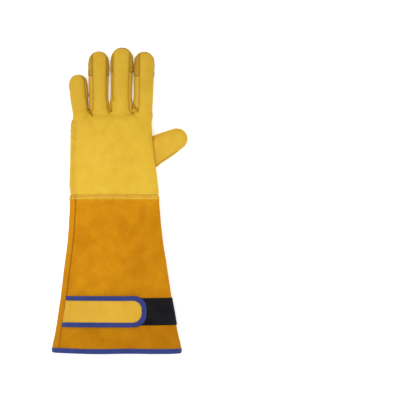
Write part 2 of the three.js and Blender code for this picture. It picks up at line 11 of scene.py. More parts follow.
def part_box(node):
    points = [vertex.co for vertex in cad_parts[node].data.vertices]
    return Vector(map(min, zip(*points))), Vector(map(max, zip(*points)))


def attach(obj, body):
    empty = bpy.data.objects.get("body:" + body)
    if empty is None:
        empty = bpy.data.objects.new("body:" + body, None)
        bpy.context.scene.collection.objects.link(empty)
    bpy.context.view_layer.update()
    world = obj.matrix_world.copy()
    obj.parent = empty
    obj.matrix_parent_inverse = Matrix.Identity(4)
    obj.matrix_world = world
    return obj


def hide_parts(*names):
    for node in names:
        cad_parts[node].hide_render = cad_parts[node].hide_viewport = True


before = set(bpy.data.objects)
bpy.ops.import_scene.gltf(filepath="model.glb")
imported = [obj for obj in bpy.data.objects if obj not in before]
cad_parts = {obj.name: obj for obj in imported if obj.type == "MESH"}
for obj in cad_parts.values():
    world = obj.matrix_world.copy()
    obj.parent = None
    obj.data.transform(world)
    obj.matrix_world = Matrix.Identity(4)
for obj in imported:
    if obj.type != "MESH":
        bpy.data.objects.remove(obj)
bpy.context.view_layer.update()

# Leather skin. The real glove is sewn from flat leather panels, inside out, and then turned.
# The skin is the outside of all these panels at once: an even mesh over the CAD panels,
# smoothed, sunk along the seams and creased, from which each panel is cut with its own walls.
mm = 0.001
skin_step = 1.1 * mm
leather_wall = 1.7 * mm
# How far above the table the skin lies, and what is sewn on it
skin_rest = 0.15 * mm
trim_rest = 0.1 * mm
leather = [
    "back_panel", "palm_panel", "middle_ring_panel",
    "side_strip_index_middle", "side_strip_middle_ring", "side_strip_ring_little",
    "index_cap", "middle_cap", "ring_cap", "little_cap",
    "thumb_back", "thumb_front", "cuff_back", "cuff_front",
]
hand_panels = leather[:6]
cap_names = [name for name in leather if name.endswith("_cap")]
caps = [leather.index(name) for name in cap_names]
thumb = [leather.index("thumb_back"), leather.index("thumb_front")]
cuff = [leather.index("cuff_back"), leather.index("cuff_front")]
hem_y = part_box("cuff_back")[0].y
wrist_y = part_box("cuff_back")[1].y
web_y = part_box("palm_patch")[1].y + 13 * mm


def leather_surface(names):
    """A search tree over CAD nodes, and which of them each of its faces belongs to"""
    points, faces, owners = [], [], []
    for i, name in enumerate(names):
        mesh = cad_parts[name].data
        first = len(points)
        points += [v.co for v in mesh.vertices]
        faces += [[first + k for k in p.vertices] for p in mesh.polygons]
        owners += [i] * len(mesh.polygons)
    return BVHTree.FromPolygons(points, faces), owners


def modified(form, kind, **settings):
    """What one modifier makes of a form"""
    mesh = bpy.data.meshes.new("worked")
    form.to_mesh(mesh)
    form.free()
    holder = bpy.data.objects.new("worked", mesh)
    bpy.context.scene.collection.objects.link(holder)
    modifier = holder.modifiers.new("worked", kind)
    for key, value in settings.items():
        setattr(modifier, key, value)
    form = bmesh.new()
    form.from_object(holder, bpy.context.evaluated_depsgraph_get())
    bpy.data.objects.remove(holder)
    bpy.data.meshes.remove(mesh)
    return form


def number(form):
    """Gives every point, edge and face its index"""
    for group in (form.verts, form.edges, form.faces):
        group.index_update()
        group.ensure_lookup_table()


def places(form):
    return np.array([v.co for v in form.verts])


def place(form, points):
    for v, p in zip(form.verts, points.tolist()):
        v.co = p
    form.normal_update()


def ramp(values, low, high):
    """0 below low, 1 above high and a smooth step between"""
    t = np.clip((values - low) / (high - low), 0, 1)
    return t * t * (3 - 2 * t)


# Where the gap between two fingers crosses the web, in millimetres, its slant, and which way
# the other gaps carry it when the fingers are spread
finger_gaps = [(17.7, 0.0175, 1), (-14.9, 0.008, 0), (-43.6, -0.035, -1)]
finger_spread = 1.4 * mm
gap_core = 0.3 * mm


def spread_fingers(points, back=False):
    """Moves the fingers apart above the web, so that the skin stays open between them, or back"""
    rise = points[:, 1] - web_y
    step = finger_spread * ramp(rise, -12 * mm, 2 * mm)
    moved = points.copy()
    for x, slant, turn in finger_gaps:
        off = points[:, 0] - x * mm - slant * rise
        if back:
            moved[:, 0] -= step * np.clip((off - 2 * turn * step) / (gap_core + step), -1, 1)
        else:
            moved[:, 0] += step * np.clip(off / gap_core, -1, 1)
    return moved


def even_skin():
    """One closed skin round all the leather, with the cuff's mouth plugged and opened again"""
    form = bmesh.new()
    for name in leather:
        form.from_mesh(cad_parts[name].data)
    bmesh.ops.remove_doubles(form, verts=form.verts, dist=0.001 * mm)
    rim = [v.co.copy() for v in form.verts if v.co.y < hem_y + 0.1 * mm]
    plug = [form.verts.new((p.x, p.y - depth, p.z)) for p in rim for depth in (0, 2 * mm)]
    bmesh.ops.convex_hull(form, input=plug)
    place(form, spread_fingers(places(form)))
    form = modified(form, "REMESH", mode="VOXEL", voxel_size=skin_step)
    bmesh.ops.bisect_plane(
        form, geom=form.verts[:] + form.edges[:] + form.faces[:], dist=0.01 * mm,
        plane_co=(0, hem_y + 0.4 * mm, 0), plane_no=(0, -1, 0), clear_outer=True,
    )
    bmesh.ops.remove_doubles(form, verts=form.verts, dist=0.05 * mm)
    place(form, spread_fingers(places(form), back=True))
    return form


def neighbour_table(form, edges=None):
    """Each point's neighbours as flat arrays; a border point has only border neighbours"""
    edges = form.edges if edges is None else edges
    pairs = np.array([[e.verts[0].index, e.verts[1].index] for e in edges])
    border = np.array([e.is_boundary for e in edges])
    on_border = np.zeros(len(form.verts), bool)
    on_border[pairs[border].ravel()] = True
    pairs = np.vstack([pairs, pairs[:, ::-1]])
    border = np.concatenate([border, border])
    pairs = pairs[~on_border[pairs[:, 0]] | border]
    pairs = pairs[np.argsort(pairs[:, 0], kind="stable")]
    found, starts, counts = np.unique(pairs[:, 0], return_index=True, return_counts=True)
    return found, starts, pairs[:, 1], counts


def smoothed(points, table, share, rounds):
    """Moves each point of the table towards its neighbours' mean"""
    found, starts, others, counts = table
    points = points.copy()
    for _ in range(rounds):
        mean = np.add.reduceat(points[others], starts, axis=0) / counts[:, None]
        points[found] += share * (mean - points[found])
    return points


def evened(points, table, share, rounds):
    """Smooths facets and steps away, and puts back the broad form that smoothing takes"""
    soft = smoothed(points, table, share, rounds)
    for _ in range(2):
        soft = soft + smoothed(points - soft, table, share, rounds)
    return soft


def distance_to(points, targets):
    """How far each point is from the nearest target"""
    tree = KDTree(len(targets))
    for i, target in enumerate(targets):
        tree.insert(target, i)
    tree.balance()
    return np.array([tree.find(p)[2] for p in points])


skin = even_skin()
number(skin)
owner = skin.faces.layers.int.new("owner")
leather_tree, leather_owner = leather_surface(leather)
for face in skin.faces:
    face[owner] = leather_owner[leather_tree.find_nearest(face.calc_center_median())[2]]
for _ in range(3):
    changes = []
    for face in skin.faces:
        near = [f[owner] for e in face.edges for f in e.link_faces if f is not face]
        most = max(set(near), key=near.count)
        if most != face[owner] and near.count(most) >= 3:
            changes.append((face, most))
    for face, most in changes:
        face[owner] = most

# Facets come off more gently on the digits, whose facets are small
points = places(skin)
as_cut = points.copy()
on_thumb = np.array([any(f[owner] in thumb for f in v.link_faces) for v in skin.verts])
gentle = np.maximum(ramp(points[:, 1], web_y - 25 * mm, web_y + 12 * mm), on_thumb * 0.85)
mesh_table = neighbour_table(skin)
share = smoothed(0.5 - 0.42 * gentle[:, None], mesh_table, 0.5, 12)
points = evened(points, mesh_table, share, 150)

# Seams between panels are drawn straight, and the skin beside them follows
seam_edges = [
    e for e in skin.edges
    if len(e.link_faces) == 2 and e.link_faces[0][owner] != e.link_faces[1][owner]
]
seam_table = neighbour_table(skin, seam_edges)
plain = seam_table[3] == 2
points = smoothed(points, seam_table, 0.5 * plain[:, None], 14)
seam_points = seam_table[0]
beside = np.exp(-(distance_to(points, points[seam_points]) / (3 * mm)) ** 2)
beside[seam_points] = 0
points = smoothed(points, mesh_table, 0.5 * beside[:, None], 10)
place(skin, points)


def kind_of_seam(edge):
    """Names a seam by the two panels that it joins"""
    sides = {f[owner] for f in edge.link_faces}
    names = {leather[side] for side in sides}
    if len(sides & set(cuff)) == 1:
        return "wrist"
    if sides <= set(cuff):
        return "cuff_side"
    if sides <= set(thumb):
        return "thumb_side"
    if sides & set(thumb):
        return "thumb_root"
    if sides & set(caps) and "back_panel" not in names:
        return "cap"
    if names == {"back_panel", "palm_panel"}:
        return "hand_side"
    return "finger"


# How each kind of seam shows: the depth of its groove in millimetres and how dark its line is
seam_looks = {
    "wrist": (0.5, 0.30), "cap": (0.2, 0.50), "hand_side": (0.35, 0.12),
    "cuff_side": (0.8, 0.78), "thumb_side": (0.7, 0.45), "thumb_root": (1.0, 0.55),
    "finger": (0.9, 0.60),
}
groove_breadth = 1.5 * mm
line_breadth = 1.1 * mm
seam_sets = {kind: [] for kind in seam_looks}
for edge in seam_edges:
    seam_sets[kind_of_seam(edge)].append(edge)
groove = np.zeros(len(points))
seam_line_and_shade = np.zeros(len(points))
from_turned = np.full(len(points), 9.0)
for kind, (depth, darkness) in seam_looks.items():
    on_seam = sorted({v.index for edge in seam_sets[kind] for v in edge.verts})
    away = distance_to(points, points[on_seam])
    groove = np.maximum(groove, depth * mm * np.exp(-(away / groove_breadth) ** 2))
    seam_line_and_shade = np.maximum(seam_line_and_shade, darkness * np.exp(-(away / line_breadth) ** 2))
    if kind not in ("wrist", "cap"):
        from_turned = np.minimum(from_turned, away)

# Folds and dents that the photograph shows, in millimetres: path, depth, breadth, and how
# much painted shade darkens their bottom
back_folds = [
    {"path": [(-45, 140), (-43, 127), (-38.3, 118.6)], "depth": 1.6, "breadth": 1.5, "crease_shade": 0.9},
    {"path": [(-13.7, 139), (-12.5, 131), (-10.5, 125)], "depth": 1.2, "breadth": 1.4, "crease_shade": 0.9},
    {"path": [(17.9, 140), (20.5, 133), (24.8, 125.4)], "depth": 1.3, "breadth": 2.0, "crease_shade": 0.9},
    {"path": [(-11, 133), (-6, 128)], "depth": 0.5, "breadth": 1.8, "crease_shade": 0.2},
    {"path": [(74, 76), (63, 68), (53, 58)], "depth": 0.5, "breadth": 5.0},
    {"path": [(-10, 142), (-3, 131), (10, 123), (21, 123)], "depth": 0.7, "breadth": 3.0},
    {"path": [(-52, 9), (-20, 5), (12, 7)], "depth": 0.7, "breadth": 3.5},
    {"path": [(-40, 114), (-33, 96)], "depth": 0.7, "breadth": 3.5},
    {"path": [(-9, 119), (-4, 106)], "depth": 0.5, "breadth": 3.0},
    {"path": [(25, 119), (29, 106)], "depth": 0.5, "breadth": 3.0},
    {"path": [(44, 88), (40, 66), (44, 44)], "depth": 0.9, "breadth": 5.0},
    {"path": [(-70, 111), (-64, 110)], "depth": 1.5, "breadth": 2.2, "crease_shade": 0.1},
    {"path": [(-65, 104), (-62, 94)], "depth": 0.6, "breadth": 1.5, "crease_shade": 0.3},
    {"path": [(-67, 89), (-61, 85)], "depth": 0.7, "breadth": 1.5, "crease_shade": 0.4},
    {"path": [(-67, 75), (-62, 72)], "depth": 0.6, "breadth": 1.4, "crease_shade": 0.3},
    {"path": [(-30, -12), (-24, -60), (-34, -110)], "depth": 0.8, "breadth": 12.0},
    {"path": [(20, -14), (30, -70), (24, -118)], "depth": 0.8, "breadth": 12.0},
    {"path": [(-4, -160), (2, -208)], "depth": 0.8, "breadth": 10.0},
    {"path": [(52, -160), (60, -208)], "depth": 0.8, "breadth": 9.0},
]
palm_folds = [
    {"path": [(33, 82), (38, 66), (36, 44), (26, 22), (18, 10)], "depth": 0.9, "breadth": 3.0},
    {"path": [(46, 60), (38, 40), (22, 10)], "depth": 0.8, "breadth": 4.0},
    {"path": [(10, 128), (14, 140)], "depth": 0.6, "breadth": 3.0},
    {"path": [(-20, 126), (-24, 138)], "depth": 0.6, "breadth": 3.0},
    {"path": [(-40, -90), (0, -98), (40, -86)], "depth": 0.6, "breadth": 8.0},
]


def folded(points, folds, facing):
    """How deep the folds press each point in, seen in plan, and how much painted shade they lay on
    it
    """
    depth = np.zeros(len(points))
    crease_shade = np.zeros(len(points))
    flat = points[:, :2]
    for fold in folds:
        path = np.array(fold["path"]) * mm
        nearest = np.full(len(points), 9.0)
        for a, b in zip(path[:-1], path[1:]):
            t = np.clip((flat - a) @ (b - a) / ((b - a) @ (b - a)), 0, 1)
            nearest = np.minimum(nearest, np.hypot(*(flat - a - t[:, None] * (b - a)).T))
        off = nearest / (fold["breadth"] * mm)
        press = fold["depth"] * mm * (np.exp(-off ** 2) - 0.45 * np.exp(-(off - 1.9) ** 2))
        depth += press * facing
        crease_shade = np.maximum(crease_shade, fold.get("crease_shade", 0) * np.exp(-(1.3 * off) ** 2) * facing)
    return depth, crease_shade


# Between its seams the leather swells a little, the cuff's edge stands proud at the wrist, and
# the whole surface is slightly uneven, in broad waves and in fine ones
pillow = 0.45 * mm
wrist_ridge = 0.6 * mm
waves = ((0.35 * mm, 28), (0.16 * mm, 95))
normals = np.array([v.normal for v in skin.verts])
upward = ramp(normals[:, 2], 0.1, 0.6)
downward = ramp(-normals[:, 2], 0.1, 0.6)
back_press, back_fold_shade = folded(points, back_folds, upward)
palm_press, palm_fold_shade = folded(points, palm_folds, downward)
# Painted shade in the folds' bottoms joins the seams' dark lines
seam_line_and_shade = np.maximum(seam_line_and_shade, np.maximum(back_fold_shade, palm_fold_shade))
# The palm's leather comes round the little finger's side; where it faces up there it gets a little
# painted shade
wrap_shade = 0.15
palm = leather.index("palm_panel")
wrapped = np.array([all(f[owner] == palm for f in v.link_faces) for v in skin.verts])
wrapped = wrapped & (points[:, 0] < 0) & (points[:, 1] < web_y)
seam_line_and_shade = np.maximum(seam_line_and_shade, wrap_shade * wrapped * upward)
below_wrist = wrist_y - points[:, 1]
ridge = ramp(below_wrist, 0.3 * mm, 1.2 * mm) * (1 - ramp(below_wrist, 5 * mm, 9 * mm))
unevenness = np.array([
    sum(height * noise.noise(Vector(p) * waves_a_metre) for height, waves_a_metre in waves)
    for p in points
])
lift = pillow * (1 - np.exp(-(from_turned / (6 * mm)) ** 2)) + wrist_ridge * ridge
points = points + normals * (lift + unevenness - groove - back_press - palm_press)[:, None]
points[:, 2] = np.maximum(points[:, 2], skin_rest)

# The leather crowds together in the crotches, so that each gap narrows to a slit there.
# Neighbouring fingers come close there, but neither reaches the middle of their gap.
crotch_squeeze = (1.9, 1.9, 0.3)
slit_half = 0.12 * mm
rise = as_cut[:, 1] - web_y
for (x, slant, _), squeeze in zip(finger_gaps, crotch_squeeze):
    middle = x * mm + slant * rise
    side = np.sign(as_cut[:, 0] - middle)
    off = np.abs(points[:, 0] - middle)
    crowd = ramp(rise, -10 * mm, -2 * mm) * (1 - ramp(rise, 7 * mm, 19 * mm))
    nearness = (1 - ramp(off, 3 * mm, 9 * mm)) * np.minimum(off / (1.5 * mm), 1)
    points[:, 0] -= side * squeeze * mm * crowd * nearness
    lost = slit_half - (points[:, 0] - middle) * side
    facing = (np.abs(as_cut[:, 0] - middle) < 8 * mm) & (rise > 3 * mm) & (lost > 0)
    points[facing, 0] += (side * lost)[facing]
place(skin, points)
# The border attribute carries the seams' dark lines and the painted shade of the folds and the
# wrapped strip
seam_line_and_shade_layer = skin.verts.layers.float.new("border")
for v, value in zip(skin.verts, seam_line_and_shade.tolist()):
    v[seam_line_and_shade_layer] = value
skin_tree = BVHTree.FromBMesh(skin)


def cut_out(keep):
    """A copy of the skin with only the faces that keep says yes to"""
    form = skin.copy()
    number(form)
    names = form.faces.layers.int["owner"]
    lost = [f for f in form.faces if not keep(f, f[names])]
    bmesh.ops.delete(form, geom=lost, context="FACES")
    number(form)
    return form


def panel(name):
    """The part of the skin that one leather panel covers"""
    number_of = leather.index(name)
    return cut_out(lambda face, label: label == number_of)


def mark_border(form, reach, darkness):
    """Stores how dark each point is for its nearness to the piece's border"""
    layer = form.verts.layers.float.get("border") or form.verts.layers.float.new("border")
    points = places(form)
    rim = [v.co.copy() for v in form.verts if v.is_boundary]
    near = darkness * np.exp(-(distance_to(points, rim) / reach) ** 2)
    for v, value in zip(form.verts, near.tolist()):
        v[layer] = value


def straighten_border(form, rounds):
    """Takes the skin's steps out of a cut border and lets the inside follow"""
    number(form)
    table = neighbour_table(form)
    points = places(form)
    rim = np.array([v.is_boundary for v in form.verts])
    points = evened(points, table, 0.5 * rim[table[0]][:, None], rounds)
    near = np.exp(-(distance_to(points, points[rim]) / (2 * mm)) ** 2) * ~rim
    place(form, smoothed(points, table, 0.5 * near[table[0]][:, None], 6))


def raise_sheet(form, height, edge_drop=0.0, edge_reach=1.5 * mm):
    """Lifts a sheet off the skin along its normals, less at its border"""
    number(form)
    form.normal_update()
    points = places(form)
    normals = np.array([v.normal for v in form.verts])
    rim = [v.co.copy() for v in form.verts if v.is_boundary]
    drop = edge_drop * np.exp(-(distance_to(points, rim) / edge_reach) ** 2)
    points = points + normals * (height - drop)[:, None]
    points[:, 2] = np.maximum(points[:, 2], trim_rest)
    place(form, points)


def walled(form, thickness):
    """Gives a sheet its thickness, on the side away from its normals"""
    return modified(form, "SOLIDIFY", thickness=thickness, offset=-1, use_even_offset=False)


def finish_piece(form, name, material, slot, *nodes):
    """Makes the piece's object, with its material and body, and hides the CAD nodes it stands for.
    Nothing of it reaches below the surface that the glove lies on."""
    for v in form.verts:
        v.co.z = max(v.co.z, 0)
    mesh = bpy.data.meshes.new(name)
    form.to_mesh(mesh)
    form.free()
    mesh.materials.append(material)
    mesh.shade_smooth()
    mesh.set_sharp_from_angle(angle=math.radians(50))
    piece = bpy.data.objects.new(name, mesh)
    bpy.context.scene.collection.objects.link(piece)
    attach(piece, "root")
    if nodes:
        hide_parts(*nodes)
    return piece


def linear(code):
    """The linear colour that a shader takes for an sRGB hex code"""
    parts = [int(code[i:i + 2], 16) / 255 for i in (0, 2, 4)]
    return [c / 12.92 if c <= 0.04045 else ((c + 0.055) / 1.055) ** 2.4 for c in parts] + [1]


def add_node(tree, kind, inputs=(), **settings):
    """A node with its settings; an input takes a value, or a link where it is given an output"""
    made = tree.nodes.new(kind)
    for key, value in settings.items():
        setattr(made, key, value)
    for key, value in dict(inputs).items():
        if isinstance(value, bpy.types.NodeSocket):
            tree.links.new(value, made.inputs[key])
        else:
            made.inputs[key].default_value = value
    return made


def blank_material(name):
    """A material's node tree with nothing but its output"""
    material = bpy.data.materials.new(name)
    material.use_nodes = True
    material.node_tree.nodes.clear()
    return material, material.node_tree


def mixed(tree, factor, a, b, blend="MIX"):
    """The output of a colour mix"""
    node = add_node(tree, "ShaderNodeMix", {0: factor, 6: a, 7: b}, data_type="RGBA",
                    blend_type=blend)
    return node.outputs[2]


def leather_finish(name, pale, deep, seam_and_shade, patch_mm, fleck_mm, grain_mm, grain_height_mm,
                   smooth, roughness, sheen, tones=()):
    """Dyed leather: broad and fine blotches, dark seams, painted shade in creases, and its grain or
    nap
    """
    material, tree = blank_material(name)
    where = add_node(tree, "ShaderNodeTexCoord").outputs["Object"]
    broad = add_node(tree, "ShaderNodeTexNoise", {
        "Vector": where, "Scale": 1000 / patch_mm, "Detail": 3, "Roughness": 0.5})
    fleck = add_node(tree, "ShaderNodeTexNoise", {
        "Vector": where, "Scale": 1000 / fleck_mm, "Detail": 6, "Roughness": 0.65})
    both = add_node(tree, "ShaderNodeMath", {0: broad.outputs["Fac"], 1: fleck.outputs["Fac"]},
                    operation="ADD")
    blotch = add_node(tree, "ShaderNodeMapRange", {
        "Value": both.outputs[0], "From Min": 0.7, "From Max": 1.3})
    colour = mixed(tree, blotch.outputs[0], linear(pale), linear(deep))
    if smooth:
        grain = add_node(tree, "ShaderNodeTexVoronoi", {
            "Vector": where, "Scale": 1000 / grain_mm, "Smoothness": 0.6},
            feature="SMOOTH_F1")
        height = grain.outputs["Distance"]
    else:
        nap = add_node(tree, "ShaderNodeTexNoise", {
            "Vector": where, "Scale": 1000 / grain_mm, "Detail": 8, "Roughness": 0.75})
        height = nap.outputs["Fac"]
        # The nap is painted darker in its hollows and lighter on its tips: painted shade and
        # highlight
        nap_shading = add_node(tree, "ShaderNodeMapRange", {
            "Value": height, "From Min": 0.3, "From Max": 0.7, "To Min": 0.84,
            "To Max": 1.12})
        colour = mixed(tree, 1.0, colour, nap_shading.outputs[0], "MULTIPLY")
    # Tones along the piece's length, among them painted shade and a painted highlight
    for from_mm, to_mm, tint in tones:
        along = add_node(tree, "ShaderNodeSeparateXYZ", {0: where}).outputs["Y"]
        share = add_node(tree, "ShaderNodeMapRange", {
            "Value": along, "From Min": from_mm * mm, "From Max": to_mm * mm},
            interpolation_type="SMOOTHSTEP")
        tone = mixed(tree, share.outputs[0], (1, 1, 1, 1), (*tint, 1))
        colour = mixed(tree, 1.0, colour, tone, "MULTIPLY")
    # Darkens towards the seam colour by the border attribute: dark seam lines and edges, and
    # painted shade
    border = add_node(tree, "ShaderNodeAttribute", attribute_name="border")
    colour = mixed(tree, border.outputs["Fac"], colour, linear(seam_and_shade))
    wrinkle = add_node(tree, "ShaderNodeTexNoise", {
        "Vector": where, "Scale": 1000 / 9, "Detail": 5, "Roughness": 0.6, "Distortion": 1.2})
    coarse = add_node(tree, "ShaderNodeBump", {
        "Height": wrinkle.outputs["Fac"], "Distance": 0.45 * mm, "Strength": 0.5})
    fine = add_node(tree, "ShaderNodeBump", {
        "Height": height, "Distance": grain_height_mm * mm, "Strength": 0.8,
        "Normal": coarse.outputs[0]})
    shader = add_node(tree, "ShaderNodeBsdfPrincipled", {
        "Base Color": colour, "Roughness": roughness, "Normal": fine.outputs[0],
        "Sheen Weight": sheen, "Sheen Roughness": 0.5, "Sheen Tint": linear(pale), "IOR": 1.46,
        "Specular IOR Level": 0.22 if smooth else 0.08})
    add_node(tree, "ShaderNodeOutputMaterial", {"Surface": shader.outputs[0]})
    return material


# Hand and fingers. The back, the palm, the two middle fingers' front and the side strips are
# smooth yellow grain leather, sewn inside out, so each seam is a groove between two swells.
# The grain's pebbles are drawn about three times too coarse, so that they show at all.
# Towards their tips the fingers are painted darker: painted shade
grain_leather = leather_finish(
    "grain_leather", "dab333", "cfa526", "946410", patch_mm=50, fleck_mm=13, grain_mm=1.5,
    grain_height_mm=0.10, smooth=True, roughness=0.58, sheen=0.05,
    tones=[(60, 185, (0.84, 0.81, 0.79))])
for name in hand_panels:
    form = walled(panel(name), leather_wall)
    finish_piece(form, f"{name}_leather", grain_leather, "grain_leather", name)

# Fingertip caps. Khaki suede, lapped over the fingers' fronts; their edge stands proud. The
# little finger's is cut from a paler piece of the hide. The nap scatters light, so the suede
# looks mealy and has no shine.
cap_suede = leather_finish(
    "cap_suede", "b9912f", "a67e24", "7c5a18", patch_mm=25, fleck_mm=7, grain_mm=1.3,
    grain_height_mm=0.25, smooth=False, roughness=0.95, sheen=0.2)
pale_cap_suede = leather_finish(
    "pale_cap_suede", "cfaa48", "bc953a", "8a6a22", patch_mm=25, fleck_mm=7, grain_mm=1.3,
    grain_height_mm=0.25, smooth=False, roughness=0.95, sheen=0.2)
cap_lap = 0.6 * mm
# The outer faces that stitches will lie on
tops = {}
for name in cap_names:
    form = panel(name)
    points = places(form)
    normals = np.array([v.normal for v in form.verts])
    edge = [v.co.copy() for e in seam_sets["cap"] for v in e.verts]
    rise = cap_lap * (1 - ramp(distance_to(points, edge), 3 * mm, 12 * mm))
    place(form, points + normals * rise[:, None])
    tops[name] = BVHTree.FromBMesh(form)
    material = pale_cap_suede if name == "little_cap" else cap_suede
    finish_piece(walled(form, leather_wall), f"{name}_suede", material, "cap_suede", name)

# Thumb. Its back is the same smooth leather, with a soft gleam; its front is matt yellow suede
# that wraps round the lower edge.
thumb_leather = leather_finish(
    "thumb_leather", "d5aa30", "c99d26", "946410", patch_mm=40, fleck_mm=12, grain_mm=1.5,
    grain_height_mm=0.10, smooth=True, roughness=0.58, sheen=0.05)
thumb_suede = leather_finish(
    "thumb_suede", "cfa330", "bd9022", "8a671a", patch_mm=30, fleck_mm=9, grain_mm=1.4,
    grain_height_mm=0.22, smooth=False, roughness=0.92, sheen=0.2)
for name, material, slot in (("thumb_back", thumb_leather, "grain_leather"),
                             ("thumb_front", thumb_suede, "thumb_suede")):
    finish_piece(walled(panel(name), leather_wall), f"{name}_leather", material, slot, name)

# Cuff. Orange-brown split leather in two long pieces, rough on both faces, with faint patches
# where the hide took the dye unevenly, and darker towards the hem.
# Its top, along the raised edge under the wrist seam, is painted lighter and yellower: a painted
# highlight
cuff_suede = leather_finish(
    "cuff_suede", "cd8b11", "b67407", "7d4a08", patch_mm=70, fleck_mm=18, grain_mm=1.5,
    grain_height_mm=0.25, smooth=False, roughness=0.95, sheen=0.2,
    tones=[(-70, -205, (0.83, 0.81, 0.80)), (-2, 3, (1.07, 1.40, 1.9))])
for name in ("cuff_back", "cuff_front"):
    form = walled(panel(name), leather_wall)
    finish_piece(form, f"{name}_leather", cuff_suede, "cuff_suede", name)

# Palm patch, thumb welt and heel patch. Pale suede sewn over the palm, a strip of smooth
# leather round the thumb's seam, and a half-round of smooth leather under the wrist.
palm_suede = leather_finish(
    "palm_suede", "cfac46", "bd993a", "957428", patch_mm=28, fleck_mm=8, grain_mm=1.4,
    grain_height_mm=0.22, smooth=False, roughness=0.95, sheen=0.2)
pad_gap = 0.25 * mm
pad_wall = 1.5 * mm


def under_node(name, reach=4 * mm):
    """The part of the skin that a CAD pad covers"""
    tree, _ = leather_surface([name])

    def covered(face, label):
        start = face.calc_center_median() - face.normal * mm
        return tree.ray_cast(start, face.normal, reach)[0] is not None

    return cut_out(covered)


def runs_of(edges):
    """Joins edges end to end into runs of points, the longest first"""
    left = dict.fromkeys(edges)
    runs = []
    while left:
        first = next(iter(left))
        del left[first]
        run = list(first.verts)
        for at_end in (True, False):
            while True:
                tip = run[-1] if at_end else run[0]
                step = next((e for e in tip.link_edges if e in left), None)
                if step is None:
                    break
                del left[step]
                run.insert(len(run) if at_end else 0, step.other_vert(tip))
        runs.append(np.array([v.co for v in run]))
    return sorted(runs, key=len, reverse=True)


borders = {}
for name, material, slot in (("palm_patch", palm_suede, "palm_suede"),
                             ("thumb_welt", thumb_leather, "grain_leather"),
                             ("heel_patch", grain_leather, "grain_leather")):
    form = under_node(name)
    straighten_border(form, 8)
    mark_border(form, 1.4 * mm, 0.5)
    raise_sheet(form, pad_gap + pad_wall, edge_drop=0.5 * mm)
    number(form)
    tops[name] = BVHTree.FromBMesh(form)
    borders[name] = runs_of([e for e in form.edges if e.is_boundary])[0]
    finish_piece(walled(form, pad_wall), f"{name}_leather", material, slot, name)

# Strap. A black loop-pile band runs across the cuff's back and round its thumb side; over it
# lies a tab of smooth yellow leather, sewn into the cuff's side seam, with a blue woven tape
# folded over its edge. The pile swallows nearly all light, and the tape's ribs catch a little.
band_low, band_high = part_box("loop_band")
tab_low, tab_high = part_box("strap_binding")
band_wall = 0.9 * mm
tab_wall = 1.8 * mm
tape_wall = 0.5 * mm
tape_inset = 5.1
tab_corner = 17 * mm
tab_middle = (tab_low.y + tab_high.y) / 2
tab_half = (tab_high.y - tab_low.y) / 2
side_points = np.array([v.co for e in seam_sets["cuff_side"] for v in e.verts
                        if v.co.x < 0 and v.normal.z > 0.2])
side_line = np.polyfit(side_points[:, 1], side_points[:, 0], 3)


def seam_x(y):
    """Where the cuff's side seam runs on its back"""
    return np.polyval(side_line, y) + 0.3 * mm


def on_cuff(x, y, lift):
    """The point at a height above the cuff's back, at a place in plan"""
    spot, normal, _, _ = skin_tree.ray_cast(Vector((x, y, 0.2)), Vector((0, 0, -1)))
    return spot + normal * lift


def tab_path(inset):
    """The tab's outline in plan at a distance inside it, from the seam round and back"""
    half = tab_half - inset
    corner = min(tab_corner - 0.7 * inset, half)
    end = tab_high.x - inset
    path = []
    for side in (1, -1):
        y = tab_middle + side * half
        run = [(x, y) for x in np.linspace(seam_x(y), end - corner, 90, endpoint=False)]
        run += [(end - corner + corner * math.sin(a), y - side * corner * (1 - math.cos(a)))
                for a in np.linspace(0, math.pi / 2, 16)]
        run += [(end, tab_middle + side * (half - corner) * t) for t in (0.6, 0.2)]
        path += run[::side]
    return path


def tab_level(x, y):
    """The underside of the tab: down on the cuff at the seam, and over the band beyond it"""
    return pad_gap + (band_wall + pad_gap) * float(ramp(x - seam_x(y), 3 * mm, 12 * mm))


def laid(profile):
    """A sheet on the cuff's back, drawn through the tab's outlines: inset and height in mm.
    It is pressed flatter where the seam takes it in."""
    form = bmesh.new()
    paths = [tab_path(inset * mm) for inset, _ in profile]
    columns = len(paths[0]) - 1
    bmesh.ops.create_grid(form, x_segments=columns, y_segments=len(profile) - 1, size=1)
    for v in form.verts:
        x, y = paths[round((v.co.y + 1) / 2 * (len(profile) - 1))][
            round((v.co.x + 1) / 2 * columns)]
        height = profile[round((v.co.y + 1) / 2 * (len(profile) - 1))][1]
        pressed = 0.45 + 0.55 * float(ramp(x - seam_x(y), 0, 8 * mm))
        v.co = on_cuff(x, y, tab_level(x, y) + height * mm * pressed)
    bmesh.ops.remove_doubles(form, verts=form.verts, dist=0.02 * mm)
    number(form)
    place(form, smoothed(places(form), neighbour_table(form), 0.5, 3))
    if sum(f.normal.z for f in form.faces) < 0:
        bmesh.ops.reverse_faces(form, faces=form.faces[:])
    form.normal_update()
    return form


